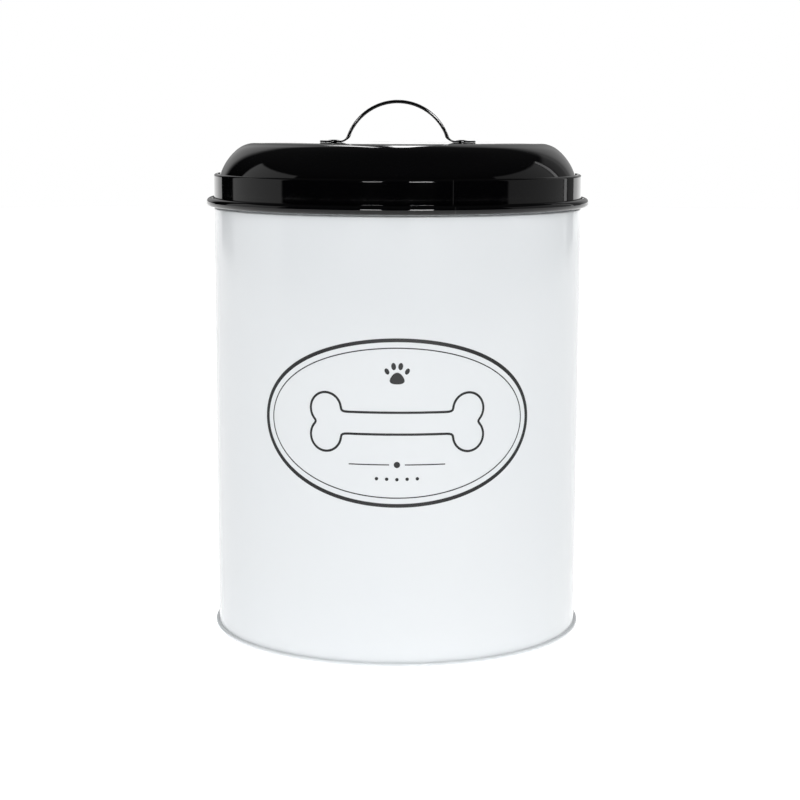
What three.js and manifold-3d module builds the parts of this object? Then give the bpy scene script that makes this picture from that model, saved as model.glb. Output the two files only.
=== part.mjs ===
// Pet food bin: a round sheet-steel bin with a slip-on lid and a riveted strap handle.
// Millimetres, +Z up. The origin is the centre of the ring that the bin stands on, and the
// front is -Y. Every round piece turns about the Z axis.

import * as THREE from 'three';
import { mergeVertices } from 'three/addons/utils/BufferGeometryUtils.js';
import Module from 'manifold-3d';

const wasm = await Module();
wasm.setup();

// Sheet and fits
const sheet = 0.8;
const halfSheet = sheet / 2;
const clearance = 0.4;
const restGap = 0.1;

// Fineness: facets to a turn, and degrees to a step along an arc
const turnSegments = 48;
const rivetSegments = 16;
const rollStep = 30;
const domeStep = 11;
const cornerStep = 45;
const archStep = 5;
const bendStep = 15;

// Overall sizes
const wallRadius = 125.2;
const curlRadius = 130.4;
const lidTopHeight = 333.4;
const handleTopHeight = 362;

// Body
const beadRadius = 127.4;
const beadHeight = 3.2;
const panHeight = 6.4;
const shoulderHeight = 289.1;
const neckHeight = 290.1;
const neckStep = 1.3;
const rimHeight = 310.3;
const rimRollRadius = 1.6;

// Lid
const flatRadius = 70;
const crownRadius = 97.3;
const crownDrop = 0.4;
const shoulderRadius = 20;
const flankRadius = 38;
const flankAngle = 50;
const domeFlangeHeight = 311;
const bandTopHeight = 312.5;
const bandFlangeRadius = 122.3;
const bandCornerRadius = 1.2;
const bandCurlHeight = 293.7;

// Handle and rivets
const strapThickness = 1.2;
const strapWidth = 20;
const archRadius = 37;
const footBendRadius = 5.6;
const footEnd = 53.1;
const rivetX = 43.5;
const shankRadius = 2;
const headRadius = 3.8;
const headHeight = 0.4;
const tailRadius = 3.4;
const tailFlatRadius = 2.4;
const tailHeight = 1.3;
const washerRadius = 6.5;
const washerThickness = 0.8;

const whiteCoat = { color: 0xe9edf0, roughness: 0.3, metalness: 0 };
const blackCoat = { color: 0x08090b, roughness: 0.15, metalness: 0 };
const plainSteel = { color: 0xb9bcbf, roughness: 0.35, metalness: 1 };

// Points along an arc, from one angle to another in degrees.
function arc(centreX, centreY, radius, fromAngle, toAngle, stepAngle) {
  const steps = Math.round(Math.abs(toAngle - fromAngle) / stepAngle);
  const points = [];
  for (let step = 0; step <= steps; step += 1) {
    const angle = THREE.MathUtils.degToRad(fromAngle + ((toAngle - fromAngle) * step) / steps);
    points.push(new THREE.Vector2(
      centreX + radius * Math.cos(angle),
      centreY + radius * Math.sin(angle),
    ));
  }
  return points;
}

function point(x, y) {
  return new THREE.Vector2(x, y);
}

// How far a strip's edge stands from a point of its centre line, mitred where the line turns.
function edgeOffset(line, index, halfThickness) {
  const before = line[Math.max(index - 1, 0)];
  const here = line[index];
  const after = line[Math.min(index + 1, line.length - 1)];
  const into = here.equals(before) ? after.clone().sub(here) : here.clone().sub(before);
  const out = here.equals(after) ? into.clone() : after.clone().sub(here);
  const bisector = into.normalize().clone().add(out.normalize()).normalize();
  const normal = point(-bisector.y, bisector.x);
  return normal.multiplyScalar(halfThickness / bisector.dot(out));
}

// Outline of a strip of even thickness that follows a centre line.
function stripOutline(line, thickness) {
  const offsets = line.map((_, index) => edgeOffset(line, index, thickness / 2));
  const leftSide = line.map((p, index) => p.clone().add(offsets[index]));
  const rightSide = line.map((p, index) => p.clone().sub(offsets[index]));
  return [...leftSide, ...rightSide.reverse()];
}

// Turns an outline of (radius, height) points about the Z axis. An outline that starts on the
// axis ends there too, and any other closes on itself.
function turned(outline, segments = turnSegments) {
  const profile = outline[0].x === 0 ? outline : [...outline, outline[0].clone()];
  const area = THREE.ShapeUtils.area(outline);
  const geometry = new THREE.LatheGeometry(area < 0 ? [...profile].reverse() : profile, segments);
  return geometry.rotateX(Math.PI / 2);
}

function turnedSheet(line) {
  return turned(stripOutline(line, sheet));
}

// Merges a closed mesh's shared vertices and drops the slivers that a turned shape has on its axis.
function toSolid(geometry) {
  const bare = geometry.clone();
  bare.deleteAttribute('normal');
  bare.deleteAttribute('uv');
  const merged = mergeVertices(bare);
  const corners = merged.index.array;
  const triangles = [];
  for (let i = 0; i < corners.length; i += 3) {
    const [a, b, c] = corners.slice(i, i + 3);
    if (a !== b && b !== c && c !== a) {
      triangles.push(a, b, c);
    }
  }
  return new wasm.Manifold(new wasm.Mesh({
    numProp: 3,
    vertProperties: Float32Array.from(merged.attributes.position.array),
    triVerts: Uint32Array.from(triangles),
  }));
}

function toGeometry(solid) {
  const mesh = solid.getMesh();
  const geometry = new THREE.BufferGeometry();
  geometry.setAttribute('position', new THREE.BufferAttribute(mesh.vertProperties, 3));
  geometry.setIndex(new THREE.BufferAttribute(mesh.triVerts, 1));
  geometry.computeVertexNormals();
  return geometry;
}

// Cuts both rivet holes through a piece that lies on or under the lid's flat top.
function withRivetHoles(solid) {
  const drillLength = 20;
  const drill = new THREE.CylinderGeometry(
    shankRadius + clearance, shankRadius + clearance, drillLength, rivetSegments,
  ).rotateX(Math.PI / 2);
  return [-rivetX, rivetX].reduce((part, x) => (
    part.subtract(toSolid(drill.clone().translate(x, 0, lidTopHeight)))
  ), solid);
}

function piece(name, geometry, finish) {
  const mesh = new THREE.Mesh(geometry, new THREE.MeshStandardMaterial(finish));
  mesh.name = name;
  return mesh;
}

// The rolled wall: a foot turned out into the base seam, a straight side, a step in to the neck
// that the lid slips over, and a mouth rolled inwards.
function bodyWall() {
  const side = wallRadius - halfSheet;
  const neck = side - neckStep;
  const line = [
    point(beadRadius - sheet - clearance, beadHeight / 2),
    point(side, beadHeight / 2),
    point(side, shoulderHeight),
    point(neck, neckHeight),
    ...arc(neck - rimRollRadius, rimHeight - halfSheet - rimRollRadius, rimRollRadius, 0, 270, rollStep),
  ];
  return piece('body_wall', turnedSheet(line), whiteCoat);
}

// The pressed pan: a raised disc, a leg down inside the wall, the flat ring that the bin stands
// on, and an edge folded up and in over the foot of the wall.
function basePan() {
  const leg = wallRadius - sheet - clearance - halfSheet;
  const line = [
    point(0, panHeight - halfSheet),
    point(leg, panHeight - halfSheet),
    point(leg, halfSheet),
    point(beadRadius - halfSheet, halfSheet),
    point(beadRadius - halfSheet, beadHeight - halfSheet),
    point(wallRadius + clearance, beadHeight - halfSheet),
  ];
  return piece('base_pan', turnedSheet(line), whiteCoat);
}

// The pressed top: a flat disc that falls away a little round its edge, a round shoulder that
// opens into a flatter flank, and a flange that rests on the mouth's roll.
function lidDome() {
  const bendHeight = lidTopHeight - crownDrop - shoulderRadius;
  const flankTurn = THREE.MathUtils.degToRad(flankAngle);
  const flankX = crownRadius - (flankRadius - shoulderRadius) * Math.cos(flankTurn);
  const flankHeight = bendHeight - (flankRadius - shoulderRadius) * Math.sin(flankTurn);
  const flankLine = flankRadius - halfSheet;
  const flangeAngle = THREE.MathUtils.radToDeg(Math.asin((domeFlangeHeight - flankHeight) / flankLine));
  const line = [
    point(0, lidTopHeight - halfSheet),
    point(flatRadius, lidTopHeight - halfSheet),
    ...arc(crownRadius, bendHeight, shoulderRadius - halfSheet, 90, flankAngle, domeStep),
    ...arc(flankX, flankHeight, flankLine, flankAngle, flangeAngle, domeStep).slice(1),
    point(wallRadius - sheet - clearance, domeFlangeHeight),
  ];
  return piece('lid_dome', toGeometry(withRivetHoles(toSolid(turnedSheet(line)))), blackCoat);
}

// The skirt: a strip turned in over the dome's flange, straight down outside the neck, and
// rolled outwards into a curl.
function lidBand() {
  const side = wallRadius - halfSheet;
  const rollRadius = (curlRadius - wallRadius) / 2;
  const cornerLine = bandCornerRadius - halfSheet;
  const rollAngle = 300;
  const line = [
    point(bandFlangeRadius, bandTopHeight - halfSheet),
    ...arc(side - cornerLine, bandTopHeight - bandCornerRadius, cornerLine, 90, 0, cornerStep),
    ...arc(side + rollRadius, bandCurlHeight, rollRadius, 180, 180 + rollAngle, rollStep),
  ];
  return piece('lid_band', turnedSheet(line), blackCoat);
}

// The handle: a flat strip bent into an arch, with a reverse bend into each round-ended foot.
function handleStrap() {
  const lineRadius = archRadius - strapThickness / 2;
  const archHeight = handleTopHeight - archRadius;
  const footHeight = lidTopHeight + restGap + strapThickness / 2;
  const bendHeight = footHeight + footBendRadius;
  const bendX = Math.sqrt((lineRadius + footBendRadius) ** 2 - (bendHeight - archHeight) ** 2);
  const archAngle = THREE.MathUtils.radToDeg(Math.atan2(bendHeight - archHeight, bendX));
  const line = [
    point(footEnd, footHeight),
    ...arc(bendX, bendHeight, footBendRadius, 270, 180 + archAngle, bendStep),
    ...arc(0, archHeight, lineRadius, archAngle, 180 - archAngle, archStep).slice(1),
    ...arc(-bendX, bendHeight, footBendRadius, -archAngle, -90, bendStep).slice(1),
    point(-footEnd, footHeight),
  ];
  const strip = new THREE.ExtrudeGeometry(
    new THREE.Shape(stripOutline(line, strapThickness)),
    { depth: strapWidth, bevelEnabled: false },
  ).translate(0, 0, -strapWidth / 2).rotateX(Math.PI / 2);

  const endRadius = strapWidth / 2;
  const plan = new THREE.Shape([
    ...arc(footEnd - endRadius, 0, endRadius, -90, 90, bendStep),
    ...arc(endRadius - footEnd, 0, endRadius, 90, 270, bendStep),
  ]);
  const planBlock = new THREE.ExtrudeGeometry(plan, {
    depth: 2 * archRadius,
    bevelEnabled: false,
  }).translate(0, 0, lidTopHeight - archRadius);

  const strap = withRivetHoles(toSolid(strip).intersect(toSolid(planBlock)));
  return piece('handle_strap', toGeometry(strap), blackCoat);
}

// A rivet: a low round head on the handle's foot, a shank through foot, dome and washer, and a
// tail spread against the washer.
function rivet(name, x) {
  const headBase = lidTopHeight + restGap + strapThickness + restGap;
  const tailTop = lidTopHeight - sheet - restGap - washerThickness - restGap;
  const ball = (headRadius ** 2 + headHeight ** 2) / (2 * headHeight);
  const rimAngle = THREE.MathUtils.radToDeg(Math.acos(headRadius / ball));
  const outline = [
    point(0, tailTop - tailHeight),
    point(tailFlatRadius, tailTop - tailHeight),
    point(tailRadius, tailTop - tailHeight / 2),
    point(tailRadius, tailTop),
    point(shankRadius, tailTop),
    point(shankRadius, headBase),
    ...arc(0, headBase + headHeight - ball, ball, rimAngle, 90, bendStep).slice(0, -1),
    point(0, headBase + headHeight),
  ];
  const mesh = piece(name, turned(outline, rivetSegments), blackCoat);
  mesh.position.x = x;
  return mesh;
}

function rivetWasher(name, x) {
  const top = lidTopHeight - sheet - restGap;
  const bottom = top - washerThickness;
  const hole = shankRadius + clearance;
  const outline = [
    point(hole, bottom),
    point(washerRadius, bottom),
    point(washerRadius, top),
    point(hole, top),
  ];
  const mesh = piece(name, turned(outline, rivetSegments), plainSteel);
  mesh.position.x = x;
  return mesh;
}

const bin = new THREE.Group();
bin.add(bodyWall(), basePan());

const lid = new THREE.Group();
lid.add(lidDome(), lidBand(), handleStrap());
lid.add(rivet('rivet_left', -rivetX), rivet('rivet_right', rivetX));
lid.add(rivetWasher('rivet_washer_left', -rivetX), rivetWasher('rivet_washer_right', rivetX));

const group = new THREE.Group();
group.add(bin, lid);

export default group;
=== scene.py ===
import math

import bmesh
import bpy
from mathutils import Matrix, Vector


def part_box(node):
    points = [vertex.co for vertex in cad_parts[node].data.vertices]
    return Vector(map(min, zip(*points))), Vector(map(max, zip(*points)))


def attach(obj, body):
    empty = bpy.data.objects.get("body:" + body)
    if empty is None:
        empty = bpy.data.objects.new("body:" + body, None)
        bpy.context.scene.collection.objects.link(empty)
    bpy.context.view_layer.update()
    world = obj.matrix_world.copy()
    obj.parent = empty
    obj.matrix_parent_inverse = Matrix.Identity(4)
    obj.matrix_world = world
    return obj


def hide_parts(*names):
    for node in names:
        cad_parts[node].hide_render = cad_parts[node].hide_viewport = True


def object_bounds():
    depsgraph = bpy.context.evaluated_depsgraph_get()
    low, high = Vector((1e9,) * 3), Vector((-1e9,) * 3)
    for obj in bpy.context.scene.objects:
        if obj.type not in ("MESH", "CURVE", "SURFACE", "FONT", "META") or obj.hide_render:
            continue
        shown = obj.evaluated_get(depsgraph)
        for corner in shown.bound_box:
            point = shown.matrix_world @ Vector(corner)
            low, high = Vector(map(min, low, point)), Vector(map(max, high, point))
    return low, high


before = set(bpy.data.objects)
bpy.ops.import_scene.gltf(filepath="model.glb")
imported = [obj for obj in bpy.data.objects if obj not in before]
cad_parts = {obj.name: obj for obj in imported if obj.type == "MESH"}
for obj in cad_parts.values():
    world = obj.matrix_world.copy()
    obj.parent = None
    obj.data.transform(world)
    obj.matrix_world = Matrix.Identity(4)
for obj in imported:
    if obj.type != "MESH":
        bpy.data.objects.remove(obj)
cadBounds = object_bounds()

mm = 0.001
bpy.context.scene.view_settings.view_transform = "Standard"

# where the steel lies, read off the CAD boxes
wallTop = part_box("body_wall")[1].z
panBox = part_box("base_pan")
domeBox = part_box("lid_dome")
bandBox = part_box("lid_band")
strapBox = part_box("handle_strap")
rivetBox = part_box("rivet_right")
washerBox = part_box("rivet_washer_right")

# what the boxes don't say, in mm: sheet thickness, slack of a slip fit, gap between parts that lie
# on each other, and how far the bead at the foot stands past the wall
fits = {"sheet": 0.8, "slack": 0.4, "rest": 0.1, "beadPast": 2.2}
sheet = fits["sheet"] * mm
wallRadius = panBox[1].x - fits["beadPast"] * mm

# metres and degrees; lens and sensor in mm
cameraView = {"distance": 1.306, "height": 0.3525, "pitchDown": 9.77, "lens": 85.2, "sensor": 36.0,
              "shiftX": 0.0027, "shiftY": 0.05, "roll": -0.15}


def addCamera(settings):
    data = bpy.data.cameras.new("frontCamera")
    data.sensor_width = settings["sensor"]
    data.lens = settings["lens"]
    data.shift_x = settings["shiftX"]
    data.shift_y = settings["shiftY"]
    data.clip_start = 0.01
    data.clip_end = 50
    camera = bpy.data.objects.new("frontCamera", data)
    camera.location = (0, -settings["distance"], settings["height"])
    camera.rotation_euler = (math.radians(90 - settings["pitchDown"]), math.radians(settings["roll"]), 0)
    bpy.context.collection.objects.link(camera)
    bpy.context.scene.camera = camera


addCamera(cameraView)
print("camera placed")


# colours are written as sRGB hex and turned to linear here
def linearColor(hexText):
    channels = [int(hexText[i:i + 2], 16) / 255 for i in (1, 3, 5)]
    return tuple(c / 12.92 if c <= 0.04045 else ((c + 0.055) / 1.055) ** 2.4 for c in channels) + (1.0,)


# adds one node, sets its settings and inputs, and links what is given as a socket
def addNode(tree, kind, settings=None, **inputs):
    node = tree.nodes.new(kind)
    for key, value in (settings or {}).items():
        setattr(node, key, value)
    for key, value in inputs.items():
        byNumber = key.startswith("in") and key[2:].isdigit()
        socket = node.inputs[int(key[2:]) if byNumber else key.replace("_", " ")]
        if isinstance(value, bpy.types.NodeSocket):
            tree.links.new(value, socket)
        else:
            socket.default_value = value
    return node


def newMaterial(name):
    material = bpy.data.materials.new(name)
    material.use_nodes = True
    material.node_tree.nodes.clear()
    return material, material.node_tree


# gloss baked enamel on steel: hard bright reflections broken by a faint orange-peel ripple,
# with a slow drift of shade from the coat's thickness and light handling smears in the gloss
def bakedEnamel(name, look):
    material, tree = newMaterial(name)
    place = addNode(tree, "ShaderNodeTexCoord").outputs["Object"]
    drift = addNode(tree, "ShaderNodeTexNoise", Vector=place, Scale=1 / (look["driftSize"] * mm),
                    Detail=3.0)
    shade = addNode(tree, "ShaderNodeMix", {"data_type": "RGBA"}, in0=drift.outputs["Fac"],
                    in6=linearColor(look["dark"]), in7=linearColor(look["light"]))
    smear = addNode(tree, "ShaderNodeTexNoise", Vector=place, Scale=1 / (look["smearSize"] * mm),
                    Detail=6.0, Distortion=0.6)
    gloss = addNode(tree, "ShaderNodeMapRange", Value=smear.outputs["Fac"],
                    From_Min=look["smearSpan"][0], From_Max=look["smearSpan"][1],
                    To_Min=look["gloss"][0], To_Max=look["gloss"][1])
    peel = addNode(tree, "ShaderNodeTexNoise", Vector=place, Scale=1 / (look["peelSize"] * mm), Detail=1.0)
    ripple = addNode(tree, "ShaderNodeBump", Height=peel.outputs["Fac"], Strength=look["peelStrength"],
                     Distance=look["peelDepth"] * mm)
    coat = addNode(tree, "ShaderNodeBsdfPrincipled", Base_Color=shade.outputs[2],
                   Roughness=gloss.outputs["Result"], IOR=look["ior"], Normal=ripple.outputs["Normal"])
    addNode(tree, "ShaderNodeOutputMaterial", Surface=coat.outputs["BSDF"])
    return material


# sizes in mm; the black coat's IOR is a little under the usual 1.5, as its reflections are dimmer
whiteLook = {"dark": "#EBEFF2", "light": "#EFF2F4", "ior": 1.5, "driftSize": 90,
             "smearSize": 22, "smearSpan": (0.35, 0.75), "gloss": (0.1, 0.16),
             "peelSize": 1.6, "peelDepth": 0.02, "peelStrength": 0.25}
blackLook = {"dark": "#020203", "light": "#040405", "ior": 1.42, "driftSize": 60,
             "smearSize": 18, "smearSpan": (0.35, 0.75), "gloss": (0.03, 0.07),
             "peelSize": 1.8, "peelDepth": 0.02, "peelStrength": 0.25}
inkLook = {"ink": "#0D0E10", "thin": "#1A1B1E", "ior": 1.48, "grain": 0.9,
           "grainSpan": (0.3, 0.7), "gloss": (0.38, 0.5)}
zincLook = {"dark": "#A9ACAF", "light": "#C3C6C8", "spangle": 2.2, "gloss": (0.28, 0.42)}


# screen-printed ink: flatter than the enamel under it, with a fine grain from the mesh
def screenInk(name, look):
    material, tree = newMaterial(name)
    place = addNode(tree, "ShaderNodeTexCoord").outputs["Object"]
    grain = addNode(tree, "ShaderNodeTexNoise", Vector=place, Scale=1 / (look["grain"] * mm), Detail=4.0)
    shade = addNode(tree, "ShaderNodeMix", {"data_type": "RGBA"}, in0=grain.outputs["Fac"],
                    in6=linearColor(look["ink"]), in7=linearColor(look["thin"]))
    gloss = addNode(tree, "ShaderNodeMapRange", Value=grain.outputs["Fac"],
                    From_Min=look["grainSpan"][0], From_Max=look["grainSpan"][1],
                    To_Min=look["gloss"][0], To_Max=look["gloss"][1])
    ink = addNode(tree, "ShaderNodeBsdfPrincipled", Base_Color=shade.outputs[2],
                  Roughness=gloss.outputs["Result"], IOR=look["ior"])
    addNode(tree, "ShaderNodeOutputMaterial", Surface=ink.outputs["BSDF"])
    return material


# bright zinc plate: small crystal patches that catch the light at different strengths
def zincPlate(name, look):
    material, tree = newMaterial(name)
    place = addNode(tree, "ShaderNodeTexCoord").outputs["Object"]
    spangle = addNode(tree, "ShaderNodeTexVoronoi", Vector=place, Scale=1 / (look["spangle"] * mm))
    patch = addNode(tree, "ShaderNodeSeparateColor", Color=spangle.outputs["Color"])
    shade = addNode(tree, "ShaderNodeMix", {"data_type": "RGBA"}, in0=patch.outputs["Red"],
                    in6=linearColor(look["dark"]), in7=linearColor(look["light"]))
    gloss = addNode(tree, "ShaderNodeMapRange", Value=patch.outputs["Green"], To_Min=look["gloss"][0],
                    To_Max=look["gloss"][1])
    metal = addNode(tree, "ShaderNodeBsdfPrincipled", Base_Color=shade.outputs[2], Metallic=1.0,
                    Roughness=gloss.outputs["Result"])
    addNode(tree, "ShaderNodeOutputMaterial", Surface=metal.outputs["BSDF"])
    return material


whiteEnamel = bakedEnamel("whiteBakedEnamel", whiteLook)
blackEnamel = bakedEnamel("blackBakedEnamel", blackLook)
printInk = screenInk("blackScreenInk", inkLook)
zincSteel = zincPlate("zincPlatedSteel", zincLook)
print("materials made")


# a line through the given corners, each (x, y, bend radius), with its bends as fine arcs
def bentLine(corners, stepDegrees=9):
    line = []
    for index, (x, y, bend) in enumerate(corners):
        here = Vector((x, y))
        if bend == 0:
            line.append(here)
            continue
        back = (Vector(corners[index - 1][:2]) - here).normalized()
        ahead = (Vector(corners[index + 1][:2]) - here).normalized()
        half = back.angle(ahead) / 2
        centre = here + (back + ahead).normalized() * (bend / math.sin(half))
        first = here + back * (bend / math.tan(half)) - centre
        turn = math.copysign(math.pi - 2 * half, back.x * ahead.y - back.y * ahead.x) * -1
        steps = max(2, round(abs(math.degrees(turn)) / stepDegrees))
        for step in range(steps + 1):
            angle = turn * step / steps
            line.append(centre + Vector((first.x * math.cos(angle) - first.y * math.sin(angle),
                                         first.x * math.sin(angle) + first.y * math.cos(angle))))
    return line


def arcLine(centre, radius, fromDegrees, toDegrees, stepDegrees=9):
    steps = max(2, round(abs(toDegrees - fromDegrees) / stepDegrees))
    angles = [math.radians(fromDegrees + (toDegrees - fromDegrees) * k / steps) for k in range(steps + 1)]
    return [Vector((centre[0] + radius * math.cos(a), centre[1] + radius * math.sin(a))) for a in angles]


# unit vectors square to a line, and how much a mitred edge is lengthened at each point
def sideways(line, index):
    before = line[index] - line[index - 1] if index > 0 else line[1] - line[0]
    after = line[index + 1] - line[index] if index < len(line) - 1 else before
    before, after = before.normalized(), after.normalized()
    middle = (before + after).normalized()
    return Vector((-middle.y, middle.x)) / max(middle.dot(after), 0.3)


onAxis = 1e-9  # a point nearer than this lies on the axis
capAngles = (0.8, 1.571, 2.34)  # three points round a sheet's free end, in radians


# outline of a sheet of even thickness along a line, with its free ends rounded over
def sheetOutline(line, thickness):
    half = thickness / 2
    sides = [sideways(line, i) * half for i in range(len(line))]
    left = [p + s for p, s in zip(line, sides)]
    right = [p - s for p, s in zip(line, sides)]
    endCap, startCap = [], []
    if line[-1].x > onAxis:
        along = (line[-1] - line[-2]).normalized()
        endCap = [line[-1] + sides[-1] * math.cos(a) + along * half * math.sin(a) for a in capAngles]
    if line[0].x > onAxis:
        along = (line[0] - line[1]).normalized()
        startCap = [line[0] - sides[0] * math.cos(a) + along * half * math.sin(a) for a in capAngles]
    return left + endCap + right[::-1] + startCap


turnSteps = {"big": 240, "small": 48, "seam": 60}  # steps to a turn, and to each side of a seam


# evenly spaced turn angles, in degrees from the front towards +X, with more of them round a seam
def turnAngles(count, seamAt=None, seamReach=3.0):
    angles = {round(360 * k / count, 4) for k in range(count)}
    seamSteps = turnSteps["seam"]
    if seamAt is not None:
        for k in range(-seamSteps, seamSteps + 1):
            offset = seamReach * (abs(k) / seamSteps) ** 2 * (1 if k >= 0 else -1)
            angles.add(round((seamAt + offset) % 360, 4))
    return sorted(angles)


def smoothStep(low, high, value):
    t = min(1.0, max(0.0, (value - low) / (high - low)))
    return t * t * (3 - 2 * t)


sharpFrom = 50  # degrees between two faces from which their edge stays crisp


def finishPiece(name, bm, material, body, slot, *nodes):
    bmesh.ops.recalc_face_normals(bm, faces=bm.faces)
    mesh = bpy.data.meshes.new(name)
    bm.to_mesh(mesh)
    bm.free()
    mesh.shade_smooth()
    mesh.set_sharp_from_angle(angle=math.radians(sharpFrom))
    mesh.materials.append(material)
    piece = bpy.data.objects.new(name, mesh)
    bpy.context.collection.objects.link(piece)
    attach(piece, body)
    if nodes:
        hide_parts(*nodes)
    return piece


# turns an outline of (radius, height) round a vertical axis; shift(angle, height) moves the
# steel in or out, which is how a seam is pressed into a wall
def turnedShape(bm, outline, angles, centre=(0, 0), shift=None):
    poles = {i: bm.verts.new((centre[0], centre[1], p.y)) for i, p in enumerate(outline) if p.x < onAxis}
    columns = []
    for degrees in angles:
        a = math.radians(degrees)
        column = []
        for i, p in enumerate(outline):
            radius = p.x + (shift(degrees, p.y) if shift else 0)
            column.append(poles[i] if i in poles else bm.verts.new(
                (centre[0] + radius * math.sin(a), centre[1] - radius * math.cos(a), p.y)))
        columns.append(column)
    closed = not poles
    rows = len(outline)
    for k in range(len(columns)):
        here, there = columns[k], columns[(k + 1) % len(columns)]
        for i in range(rows if closed else rows - 1):
            corners = [here[i], here[(i + 1) % rows], there[(i + 1) % rows], there[i]]
            unique = [v for n, v in enumerate(corners) if v not in corners[:n]]
            if len(unique) > 2:
                bm.faces.new(unique)


wallShape = {"foot": 1.6, "footReach": 1.4, "bend": 0.7, "shoulder": 289.1, "neck": 290.1,
             "neckStep": 1.3, "neckEnd": 4.0, "mouthRoll": 1.6, "mouthTurn": 262,
             "seamAt": 180.0, "seamSpan": 2.4, "seamWidth": 5.5, "seamHeight": 0.8, "seamEdge": 0.45,
             "seamStart": (3.2, 5.0), "seamEnd": (284, 288), "seamFlattened": 0.85}


def buildWall(shape):
    side = wallRadius - sheet / 2
    neck = side - shape["neckStep"] * mm
    roll = shape["mouthRoll"] * mm
    bend = shape["bend"] * mm
    line = bentLine([(side + shape["footReach"] * mm, shape["foot"] * mm, 0),
                     (side, shape["foot"] * mm, bend),
                     (side, shape["shoulder"] * mm, bend),
                     (neck, shape["neck"] * mm, bend),
                     (neck, wallTop - shape["neckEnd"] * mm, 0)])
    line += arcLine((neck - roll, wallTop - sheet / 2 - roll), roll, 0, shape["mouthTurn"])
    seamHalf = shape["seamWidth"] / 2

    # the folded seam. The wall's straight run has no points between its two ends, so the built
    # seam never reaches seamHeight: it is 0.12 mm proud at the neck, and fades out to the foot
    def lockSeam(degrees, height):
        across = abs(((degrees - shape["seamAt"] + 180) % 360) - 180) * math.radians(1) * side
        lift = 1 - smoothStep(seamHalf * mm, (seamHalf + shape["seamEdge"]) * mm, across)
        start = smoothStep(shape["seamStart"][0] * mm, shape["seamStart"][1] * mm, height)
        end = smoothStep(shape["seamEnd"][0] * mm, shape["seamEnd"][1] * mm, height)
        return shape["seamHeight"] * mm * lift * start * (1 - shape["seamFlattened"] * end)

    bm = bmesh.new()
    angles = turnAngles(turnSteps["big"], shape["seamAt"], shape["seamSpan"])
    turnedShape(bm, sheetOutline(line, sheet), angles, shift=lockSeam)
    return finishPiece("bodyWall", bm, whiteEnamel, "bin", "white_enamel", "body_wall")


panShape = {"disc": 6.0, "ringRadii": (46.0, 92.0), "ringWidth": 9.0, "ringRise": 0.35, "ringSteps": 6,
            "discEnd": 8.0, "legBend": 1.2, "footBend": 0.6, "lipBend": 1.15, "lipHeight": 3.2,
            "lipGap": 0.3}


def buildPan(shape):
    top = shape["disc"] * mm
    leg = wallRadius - sheet - fits["slack"] * mm - sheet / 2
    bead = panBox[1].x - sheet / 2
    low, high = sheet / 2, shape["lipHeight"] * mm - sheet / 2
    steps = shape["ringSteps"]
    line = [Vector((0, top))]
    for radius in shape["ringRadii"]:
        for step in range(-steps, steps + 1):
            rise = (1 + math.cos(math.pi * step / steps)) / 2 * shape["ringRise"]
            line.append(Vector(((radius + step / steps * shape["ringWidth"] / 2) * mm, top + rise * mm)))
    line += bentLine([(leg - shape["discEnd"] * mm, top, 0),
                      (leg, top, shape["legBend"] * mm),
                      (leg, low, shape["footBend"] * mm),
                      (bead, low, shape["lipBend"] * mm),
                      (bead, high, shape["lipBend"] * mm),
                      (wallRadius + shape["lipGap"] * mm + sheet / 2, high, 0)])
    bm = bmesh.new()
    turnedShape(bm, sheetOutline(line, sheet), turnAngles(turnSteps["big"]))
    return finishPiece("basePan", bm, whiteEnamel, "bin", "white_enamel", "base_pan")


domeShape = {"flatRadii": (0, 12, 30, 48), "flatRadius": 70.0, "crownRadius": 97.3, "crownDrop": 0.4,
             "crownSteps": 12, "shoulder": 20.0, "flank": 38.0, "flankFrom": 50.0, "arcStep": 3,
             "flankEnd": 1.0, "flangeRun": 0.3, "flangeBend": 0.5}


def buildDome(shape):
    top = domeBox[1].z - sheet / 2
    bend, flank = shape["shoulder"] * mm - sheet / 2, shape["flank"] * mm - sheet / 2
    fall, run = shape["crownDrop"], shape["crownRadius"] - shape["flatRadius"]
    lean = math.degrees(math.atan(2 * fall / run))
    centre = Vector((shape["crownRadius"] * mm - bend * math.sin(math.radians(lean)),
                     top - fall * mm - bend * math.cos(math.radians(lean))))
    # the shoulder opens into a flatter flank that starts square to the same line
    turn = math.radians(shape["flankFrom"])
    flankCentre = centre - Vector((math.cos(turn), math.sin(turn))) * (flank - bend)
    flange = domeBox[0].z + sheet / 2
    low = math.degrees(math.asin((flange + shape["flankEnd"] * mm - flankCentre.y) / flank))
    line = [Vector((r * mm, top)) for r in shape["flatRadii"]]
    # past the flat middle the top falls away, slowly at first
    for k in range(shape["crownSteps"]):
        share = k / shape["crownSteps"]
        line.append(Vector(((shape["flatRadius"] + run * share) * mm, top - fall * share ** 2 * mm)))
    line += arcLine(centre, bend, 90 - lean, shape["flankFrom"], shape["arcStep"])
    line += arcLine(flankCentre, flank, shape["flankFrom"], low, shape["arcStep"])[1:]
    line += bentLine([(line[-1].x, line[-1].y, 0),
                      (line[-1].x + shape["flangeRun"] * mm, flange, shape["flangeBend"] * mm),
                      (domeBox[1].x - sheet / 2, flange, 0)])[1:]
    bm = bmesh.new()
    turnedShape(bm, sheetOutline(line, sheet), turnAngles(turnSteps["big"]))
    return finishPiece("lidDome", bm, blackEnamel, "lid", "black_enamel", "lid_dome")


bandShape = {"flange": 122.3, "corner": 1.2, "curlHeight": 293.7, "curlStart": 6.0, "curlEnd": 480,
             "seamAt": 15.9, "seamSpan": 5.0, "seamDrop": 0.4, "seamEdge": 0.7, "seamRun": (2.0, 11.0)}


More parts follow.
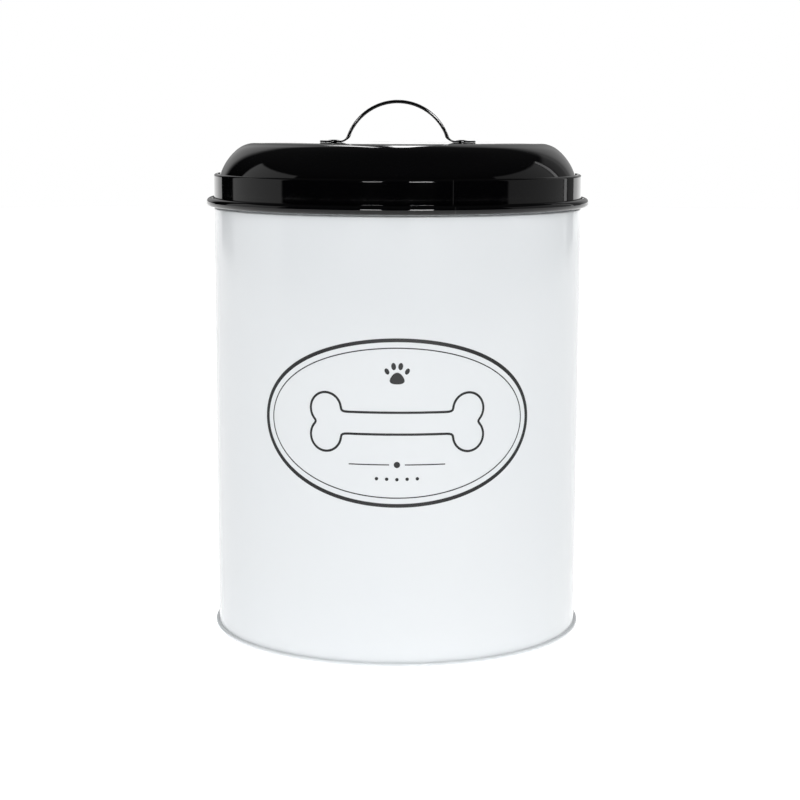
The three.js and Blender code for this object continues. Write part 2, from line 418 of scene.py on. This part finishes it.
def buildBand(shape):
    side = wallRadius - sheet / 2
    roll = (bandBox[1].x - wallRadius) / 2
    top = bandBox[1].z - sheet / 2
    line = bentLine([(shape["flange"] * mm + sheet / 2, top, 0),
                     (side, top, shape["corner"] * mm),
                     (side, (shape["curlHeight"] + shape["curlStart"]) * mm, 0)])
    line += arcLine((side + roll, shape["curlHeight"] * mm), roll, 180, shape["curlEnd"])

    # one end of the strip laps over the other, so its edge stands up as a thin upright line
    def lapSeam(degrees, height):
        across = (((degrees - shape["seamAt"] + 180) % 360) - 180) * math.radians(1) * side
        if across < 0:
            return 0
        down = smoothStep(0, shape["seamEdge"] * mm, across)
        back = 1 - smoothStep(shape["seamRun"][0] * mm, shape["seamRun"][1] * mm, across)
        return -shape["seamDrop"] * mm * down * back

    bm = bmesh.new()
    angles = turnAngles(turnSteps["big"], shape["seamAt"], shape["seamSpan"])
    turnedShape(bm, sheetOutline(line, sheet), angles, shift=lapSeam)
    return finishPiece("lidBand", bm, blackEnamel, "lid", "black_enamel", "lid_band")


strapShape = {"thickness": 1.2, "archThickness": 2.0, "footBend": 5.6, "archRadius": 37.0,
              "crown": 0.4, "crownFrom": (0.5, 4.0), "edge": 0.4, "edgeSteps": 4, "faceSteps": 5,
              "footSteps": 18, "bendStep": 8, "archStep": 2}


def buildStrap(shape):
    half = shape["thickness"] / 2 * mm
    arch = (shape["archRadius"] - shape["crown"]) * mm - half
    centreHeight = strapBox[1].z - shape["archRadius"] * mm
    footHeight = strapBox[0].z + half
    bend = shape["footBend"] * mm
    bendX = math.sqrt((arch + bend) ** 2 - (footHeight + bend - centreHeight) ** 2)
    startAngle = math.degrees(math.atan2(footHeight + bend - centreHeight, bendX))
    footEnd = strapBox[1].x
    footLength = footEnd - bendX
    # points crowd towards the foot's round end
    foot = []
    for k in range(shape["footSteps"]):
        share = 1 - math.cos(math.pi / 2 * k / shape["footSteps"])
        foot.append(Vector((footEnd - footLength * share, footHeight)))
    rightBend = arcLine((bendX, footHeight + bend), bend, 270, 180 + startAngle, shape["bendStep"])
    archLine = arcLine((0, centreHeight), arch, startAngle, 180 - startAngle, shape["archStep"])
    line = foot + rightBend + archLine[1:]
    line += [Vector((-p.x, p.y)) for p in (foot + rightBend)[::-1]][1:]

    width = strapBox[1].y
    corner = shape["edge"] * mm
    bm = bmesh.new()
    rings = []
    for index, p in enumerate(line):
        toEnd = footEnd - abs(p.x)
        atEnd = p.y < footHeight + half and toEnd < width
        reach = math.sqrt(max(0.0, width ** 2 - (width - toEnd) ** 2)) if atEnd else width
        thin = math.sqrt(max(0.0, 1 - max(0.0, 1 - toEnd / corner) ** 2)) if atEnd else 1.0
        side = sideways(line, index)
        # the arch is pressed to a deeper, slightly rounded section, which fades out into the feet
        crownLow, crownHigh = shape["crownFrom"]
        rise = smoothStep(footHeight + crownLow * mm, footHeight + crownHigh * mm, p.y)
        crown = shape["crown"] * mm * rise
        under = (shape["archThickness"] - shape["thickness"]) * mm * rise
        rounding = min(corner, reach)
        section = []
        spans = shape["faceSteps"]
        for sideSign, faceSign, fromDegrees in ((1, 1, 0), (-1, 1, 90), (-1, -1, 180), (1, -1, 270)):
            for step in range(shape["edgeSteps"] + 1):
                a = math.radians(fromDegrees + 90 * step / shape["edgeSteps"])
                section.append((sideSign * (reach - rounding) + rounding * math.cos(a),
                                faceSign * (half - corner) + corner * math.sin(a)))
            if sideSign == faceSign:
                for k in range(1, 2 * spans):
                    section.append((sideSign * (reach - rounding) * (1 - k / spans), faceSign * half))
        ring = []
        for y, w in section:
            w = w * thin - crown * (1 - (y / width) ** 2) + (under if w > 0 else 0)
            ring.append(bm.verts.new((p.x + side.x * w, y, p.y + side.y * w)))
        rings.append(ring)
    for here, there in zip(rings, rings[1:]):
        for i in range(len(here)):
            bm.faces.new((here[i], here[(i + 1) % len(here)], there[(i + 1) % len(here)], there[i]))
    for ring in (rings[0], rings[-1]):
        bm.faces.new(ring)
    bmesh.ops.remove_doubles(bm, verts=bm.verts, dist=0.001 * mm)
    return finishPiece("handleStrap", bm, blackEnamel, "lid", "black_enamel", "handle_strap")


rivetShape = {"shank": 2.0, "tail": 3.4, "tailFlat": 0.6, "tailEdge": 0.3, "tailBend": 0.4, "rim": 0.15,
              "headStep": 7}


def buildRivet(name, node, sign, shape):
    centreX = (rivetBox[0].x + rivetBox[1].x) / 2 * sign
    head = (rivetBox[1].x - rivetBox[0].x) / 2
    base = strapBox[0].z + (strapShape["thickness"] + fits["rest"]) * mm
    rise = rivetBox[1].z - base - shape["rim"] * mm
    ball = (head ** 2 + rise ** 2) / (2 * rise)
    startAngle = math.degrees(math.acos(head / ball))
    tailTop = washerBox[0].z - fits["rest"] * mm
    tail = shape["tail"] * mm
    outline = [Vector((0, rivetBox[0].z))]
    outline += bentLine([(tail * shape["tailFlat"], rivetBox[0].z, 0),
                         (tail, rivetBox[0].z + shape["tailEdge"] * mm, shape["tailBend"] * mm),
                         (tail, tailTop, 0)])
    outline += [Vector((shape["shank"] * mm, tailTop)), Vector((shape["shank"] * mm, base))]
    outline += [Vector((head, base))]
    outline += arcLine((0, base + shape["rim"] * mm + rise - ball), ball, startAngle, 89, shape["headStep"])
    outline += [Vector((0, rivetBox[1].z))]
    bm = bmesh.new()
    turnedShape(bm, outline, turnAngles(turnSteps["small"]), centre=(centreX, 0))
    return finishPiece(name, bm, blackEnamel, "lid", "black_enamel", node)


washerShape = {"hole": 2.4, "bevel": 0.15}


def buildWasher(name, node, sign, shape):
    centreX = (washerBox[0].x + washerBox[1].x) / 2 * sign
    outer = (washerBox[1].x - washerBox[0].x) / 2
    low, high = washerBox[0].z, washerBox[1].z
    hole = shape["hole"] * mm
    bevel = shape["bevel"] * mm
    outline = [Vector(p) for p in ((hole + bevel, low), (outer - bevel, low), (outer, low + bevel),
                                   (outer, high - bevel), (outer - bevel, high), (hole + bevel, high),
                                   (hole, high - bevel), (hole, low + bevel))]
    bm = bmesh.new()
    turnedShape(bm, outline, turnAngles(turnSteps["small"]), centre=(centreX, 0))
    return finishPiece(name, bm, zincSteel, "lid", "zinc_steel", node)


buildWall(wallShape)
buildPan(panShape)
buildDome(domeShape)
buildBand(bandShape)
buildStrap(strapShape)
for side, sign in (("Right", 1), ("Left", -1)):
    buildRivet("rivet" + side, "rivet_" + side.lower(), sign, rivetShape)
    buildWasher("rivetWasher" + side, "rivet_washer_" + side.lower(), sign, washerShape)
print("steel pieces built")


# the printed badge is laid out flat, in mm from its middle, and wrapped round the wall
badgeShape = {"height": 159.6, "ink": 0.09, "sunk": 0.25, "frame": (91.4, 53.0), "frameLine": 2.4,
              "innerFrame": (86.4, 48.0), "innerLine": 0.7,
              "bone": {"half": 46.5, "lobe": 10.5, "spread": 8.5, "shaft": 7.0}, "boneLine": 1.5,
              "pawAt": (0.0, 31.0), "pawSize": 7.5, "padLow": 0.35,
              "toes": ((0.3, 0.72, -8, 0.2, 0.31), (0.86, 0.3, -28, 0.18, 0.28)),
              "ruleAt": -26.5, "ruleHalf": 31.0, "ruleGap": 5.0, "ruleLine": 0.7, "ruleSteps": 12,
              "ruleDot": 2.0, "dotRow": -36.0, "dotGap": 6.5, "dotDrop": 0.25, "dotSize": 1.1}


def onWall(flat, lift):
    angle = flat.x * mm / wallRadius
    radius = wallRadius + lift * mm
    return (radius * math.sin(angle), -radius * math.cos(angle), (badgeShape["height"] + flat.y) * mm)


# corners of a printed line's section: side, and height over the wall in mm
inkCorners = ((1, badgeShape["ink"]), (-1, badgeShape["ink"]),
              (-1, -badgeShape["sunk"]), (1, -badgeShape["sunk"]))


# a closed printed line of even width, as a thin raised band
def inkLoop(bm, points, width):
    count = len(points)
    rings = []
    for i, p in enumerate(points):
        along = (points[(i + 1) % count] - points[i - 1]).normalized()
        side = Vector((-along.y, along.x)) * width / 2
        rings.append([bm.verts.new(onWall(p + side * s, lift)) for s, lift in inkCorners])
    for here, there in zip(rings, rings[1:] + rings[:1]):
        for k in range(4):
            bm.faces.new((here[k], here[(k + 1) % 4], there[(k + 1) % 4], there[k]))


inkRings = (0.35, 0.7, 1.0)  # a spot's rings, as shares of its outline


# a filled printed spot, closed underneath, built of nested rings so that it follows the wall
def inkSpot(bm, centre, points):
    layers = []
    count = len(points)
    for lift in (badgeShape["ink"], -badgeShape["sunk"]):
        middle = bm.verts.new(onWall(centre, lift))
        rings = [[bm.verts.new(onWall(centre + (p - centre) * share, lift)) for p in points]
                 for share in inkRings]
        for k in range(count):
            after = (k + 1) % count
            bm.faces.new((middle, rings[0][k], rings[0][after]))
            for inner, outer in zip(rings, rings[1:]):
                bm.faces.new((inner[k], outer[k], outer[after], inner[after]))
        layers.append(rings[-1])
    upper, under = layers
    for k in range(count):
        after = (k + 1) % count
        bm.faces.new((upper[k], upper[after], under[after], under[k]))


def ovalPoints(centre, half, tiltDegrees=0, count=24):
    tilt = math.radians(tiltDegrees)
    points = []
    for k in range(count):
        a = 2 * math.pi * k / count
        x, y = half[0] * math.cos(a), half[1] * math.sin(a)
        points.append(Vector((centre[0] + x * math.cos(tilt) - y * math.sin(tilt),
                              centre[1] + x * math.sin(tilt) + y * math.cos(tilt))))
    return points


# bone outline: two round lobes at each end of a straight shaft
def bonePoints(bone):
    half, lobe, spread, shaft = bone["half"], bone["lobe"], bone["spread"], bone["shaft"]
    fromDegrees = math.degrees(math.atan2(shaft - spread, -math.sqrt(lobe ** 2 - (spread - shaft) ** 2)))
    notchDegrees = math.degrees(math.atan2(-spread, math.sqrt(lobe ** 2 - spread ** 2)))
    corner = arcLine((half, spread), lobe, fromDegrees + (360 if fromDegrees < 0 else 0), notchDegrees, 6)
    shaftLine = [Vector((corner[0].x * k / 16, shaft)) for k in range(16)]
    quarter = shaftLine + corner
    right = quarter + [Vector((p.x, -p.y)) for p in quarter[::-1]][1:]
    points = right + [Vector((-p.x, p.y)) for p in right[::-1]][1:-1]
    # soften the inside corners a little
    count = len(points)
    for _ in range(3):
        points = [(points[i - 1] + points[i] * 2 + points[(i + 1) % count]) / 4 for i in range(count)]
    return points


# outline of the paw's pad: a round shape, wider and flatter towards its foot
def padPoints(x, y, size, count=28):
    points = []
    for k in range(count):
        a = 2 * math.pi * k / count
        across = 0.62 * math.sin(a) * (1 - 0.18 * math.cos(a))
        points.append(Vector((x + size * across, y + size * 0.5 * (math.cos(a) + 0.12 * math.cos(2 * a)))))
    return points


def buildBadge(shape):
    bm = bmesh.new()
    inkLoop(bm, ovalPoints((0, 0), shape["frame"], count=240), shape["frameLine"])
    inkLoop(bm, ovalPoints((0, 0), shape["innerFrame"], count=240), shape["innerLine"])
    inkLoop(bm, bonePoints(shape["bone"]), shape["boneLine"])
    px, py = shape["pawAt"]
    size = shape["pawSize"]
    padY = py - size * shape["padLow"]
    inkSpot(bm, Vector((px, padY)), padPoints(px, padY, size))
    for sign in (-1, 1):
        for x, y, tilt, across, along in shape["toes"]:
            spot = Vector((px + sign * x * size, py + y * size))
            inkSpot(bm, spot, ovalPoints(spot, (across * size, along * size), sign * tilt))
    gap, steps = shape["ruleGap"], shape["ruleSteps"]
    half = Vector((0, shape["ruleLine"] / 2))
    for sign in (-1, 1):
        rule = [Vector((sign * (gap + (shape["ruleHalf"] - gap) * k / steps), shape["ruleAt"]))
                for k in range(steps + 1)]
        stations = [[bm.verts.new(onWall(p + half * s, lift)) for s, lift in inkCorners] for p in rule]
        for here, there in zip(stations, stations[1:]):
            for k in range(4):
                bm.faces.new((here[k], here[(k + 1) % 4], there[(k + 1) % 4], there[k]))
        bm.faces.new(stations[0])
        bm.faces.new(stations[-1])
    middle = Vector((0, shape["ruleAt"]))
    inkSpot(bm, middle, ovalPoints(middle, (shape["ruleDot"], shape["ruleDot"])))
    for k in range(-2, 3):
        spot = Vector((k * shape["dotGap"], shape["dotRow"] + shape["dotDrop"] * abs(k)))
        inkSpot(bm, spot, ovalPoints(spot, (shape["dotSize"], shape["dotSize"])))
    return finishPiece("printedBadge", bm, printInk, "bin", "black_enamel")


buildBadge(badgeShape)
print("badge printed")

# matt white background paper, lit through from below so that it stays plain; radius in metres
floorLook = {"radius": 6.0, "sides": 96, "paper": "#F4F4F4", "grain": 3.0, "rough": (0.85, 1.0),
             "glow": 0.85}


def buildFloor(look):
    bm = bmesh.new()
    angles = [2 * math.pi * k / look["sides"] for k in range(look["sides"])]
    radius = look["radius"]
    bm.faces.new([bm.verts.new((radius * math.cos(a), radius * math.sin(a), 0)) for a in angles])
    mesh = bpy.data.meshes.new("studioFloor")
    bm.to_mesh(mesh)
    bm.free()
    floor = bpy.data.objects.new("studioFloor", mesh)
    bpy.context.collection.objects.link(floor)
    material, tree = newMaterial("whiteBackgroundPaper")
    place = addNode(tree, "ShaderNodeTexCoord").outputs["Object"]
    grain = addNode(tree, "ShaderNodeTexNoise", Vector=place, Scale=1 / (look["grain"] * mm), Detail=3.0)
    rough = addNode(tree, "ShaderNodeMapRange", Value=grain.outputs["Fac"], To_Min=look["rough"][0],
                    To_Max=look["rough"][1])
    paper = addNode(tree, "ShaderNodeBsdfPrincipled", Base_Color=linearColor(look["paper"]),
                    Roughness=rough.outputs["Result"], Specular_IOR_Level=0.0,
                    Emission_Color=linearColor(look["paper"]), Emission_Strength=look["glow"])
    addNode(tree, "ShaderNodeOutputMaterial", Surface=paper.outputs["BSDF"])
    mesh.materials.append(material)


# the studio round the bin: levels of light by direction, in degrees from the front towards +X
# and degrees up, with soft edges
studioPanels = [
    {"across": (-122.3, -75), "up": (-30, 34), "level": 0.78, "edge": 2},
    {"across": (71, 124), "up": (-30, 34), "level": 0.44, "edge": 2},
    {"across": (125, 129), "up": (-30, 34), "level": 1.3, "edge": 0.6},
    {"across": (130, 146), "up": (-30, 30), "level": 0.2, "edge": 4},
    {"across": (147, 172), "up": (-30, 34), "level": 0.55, "edge": 14},
    {"across": (172, 188), "up": (-30, 30), "level": 0.17, "edge": 10},
    {"across": (188, 212), "up": (-30, 4), "level": 0.34, "edge": 10},
    {"across": (188, 212), "up": (4, 34), "level": 0.6, "edge": 10},
    {"across": (141, 219), "up": (-5, 1.4), "level": 1.3, "edge": 0.5},
    {"across": (178.2, 180.6), "up": (20, 42), "level": 7, "edge": 0.8},
    {"across": (182.9, 184.3), "up": (20, 42), "level": 6, "edge": 0.8},
]
studioFill = {"front": 0.004, "overhead": 0.06, "from": 5, "to": 60, "wrapAt": -127, "backdrop": 1.0}


def buildStudio(panels, fill):
    world = bpy.data.worlds.new("studio")
    bpy.context.scene.world = world
    world.use_nodes = True
    tree = world.node_tree
    tree.nodes.clear()
    place = addNode(tree, "ShaderNodeTexCoord").outputs["Generated"]
    direction = addNode(tree, "ShaderNodeSeparateXYZ", Vector=place)
    forward = addNode(tree, "ShaderNodeMath", {"operation": "MULTIPLY"}, in0=direction.outputs["Y"],
                      in1=-1.0)
    across = addNode(tree, "ShaderNodeMath", {"operation": "ARCTAN2"}, in0=direction.outputs["X"],
                     in1=forward.outputs[0])
    # behind the bin the angle runs on past 180 degrees
    behind = addNode(tree, "ShaderNodeMath", {"operation": "LESS_THAN"}, in0=across.outputs[0],
                     in1=math.radians(fill["wrapAt"]))
    turned = addNode(tree, "ShaderNodeMath", {"operation": "MULTIPLY_ADD"}, in0=behind.outputs[0],
                     in1=2 * math.pi, in2=across.outputs[0])
    up = addNode(tree, "ShaderNodeMath", {"operation": "ARCSINE"}, in0=direction.outputs["Z"])
    base = addNode(tree, "ShaderNodeMapRange", {"interpolation_type": "SMOOTHSTEP"}, Value=up.outputs[0],
                   From_Min=math.radians(fill["from"]), From_Max=math.radians(fill["to"]),
                   To_Min=fill["front"], To_Max=fill["overhead"])
    total = base.outputs["Result"]
    for panel in panels:
        edge = math.radians(panel["edge"]) / 2
        level = None
        for source, (low, high) in ((turned, panel["across"]), (up, panel["up"])):
            for limit, start, end in ((low, 0.0, 1.0), (high, 1.0, 0.0)):
                ramp = addNode(tree, "ShaderNodeMapRange", {"interpolation_type": "SMOOTHSTEP"},
                               Value=source.outputs[0], From_Min=math.radians(limit) - edge,
                               From_Max=math.radians(limit) + edge, To_Min=start, To_Max=end)
                level = ramp.outputs["Result"] if level is None else addNode(
                    tree, "ShaderNodeMath", {"operation": "MULTIPLY"}, in0=level,
                    in1=ramp.outputs["Result"]).outputs[0]
        total = addNode(tree, "ShaderNodeMath", {"operation": "MULTIPLY_ADD"}, in0=level,
                        in1=panel["level"], in2=total).outputs[0]
    around = addNode(tree, "ShaderNodeBackground", Strength=total)
    backdrop = addNode(tree, "ShaderNodeBackground", Color=(1, 1, 1, 1), Strength=fill["backdrop"])
    seen = addNode(tree, "ShaderNodeLightPath").outputs["Is Camera Ray"]
    mixed = addNode(tree, "ShaderNodeMixShader", in0=seen, in1=around.outputs[0], in2=backdrop.outputs[0])
    addNode(tree, "ShaderNodeOutputWorld", Surface=mixed.outputs[0])


# the main soft lights aren't mirrored in the gloss; two low strip lights in front give only glints
keyLights = [
    {"name": "frontKey", "across": 4, "up": 32, "strength": 1.22, "spread": 35},
    {"name": "leftKey", "across": -62, "up": 42, "strength": 0.28, "spread": 35},
    {"name": "rightKey", "across": 62, "up": 42, "strength": 0.3, "spread": 35},
]
stripLights = [
    {"name": "leftStrip", "across": -15, "up": 12, "away": 2.0, "size": (0.4, 0.1), "power": 8},
    {"name": "rightStrip", "across": 13.5, "up": 12, "away": 2.0, "size": (0.45, 0.1), "power": 14},
]


keyAway = 3.0  # metres, only for where the sun lamps are drawn


def placeLight(name, data, across, up, away):
    light = bpy.data.objects.new(name, data)
    across, up = math.radians(across), math.radians(up)
    target = (cadBounds[0] + cadBounds[1]) / 2
    toward = Vector((math.sin(across) * math.cos(up), -math.cos(across) * math.cos(up), math.sin(up)))
    light.location = target + toward * away
    light.rotation_euler = toward.to_track_quat("Z", "Y").to_euler()
    bpy.context.collection.objects.link(light)
    return light


def addLights(keys, strips):
    for key in keys:
        data = bpy.data.lights.new(key["name"], "SUN")
        data.energy = key["strength"]
        data.angle = math.radians(key["spread"])
        placeLight(key["name"], data, key["across"], key["up"], keyAway).visible_glossy = False
    for strip in strips:
        data = bpy.data.lights.new(strip["name"], "AREA")
        data.shape = "RECTANGLE"
        data.size, data.size_y = strip["size"]
        data.energy = strip["power"]
        light = placeLight(strip["name"], data, strip["across"], strip["up"], strip["away"])
        light.visible_diffuse = False


buildFloor(floorLook)
buildStudio(studioPanels, studioFill)
addLights(keyLights, stripLights)
print("studio lit")
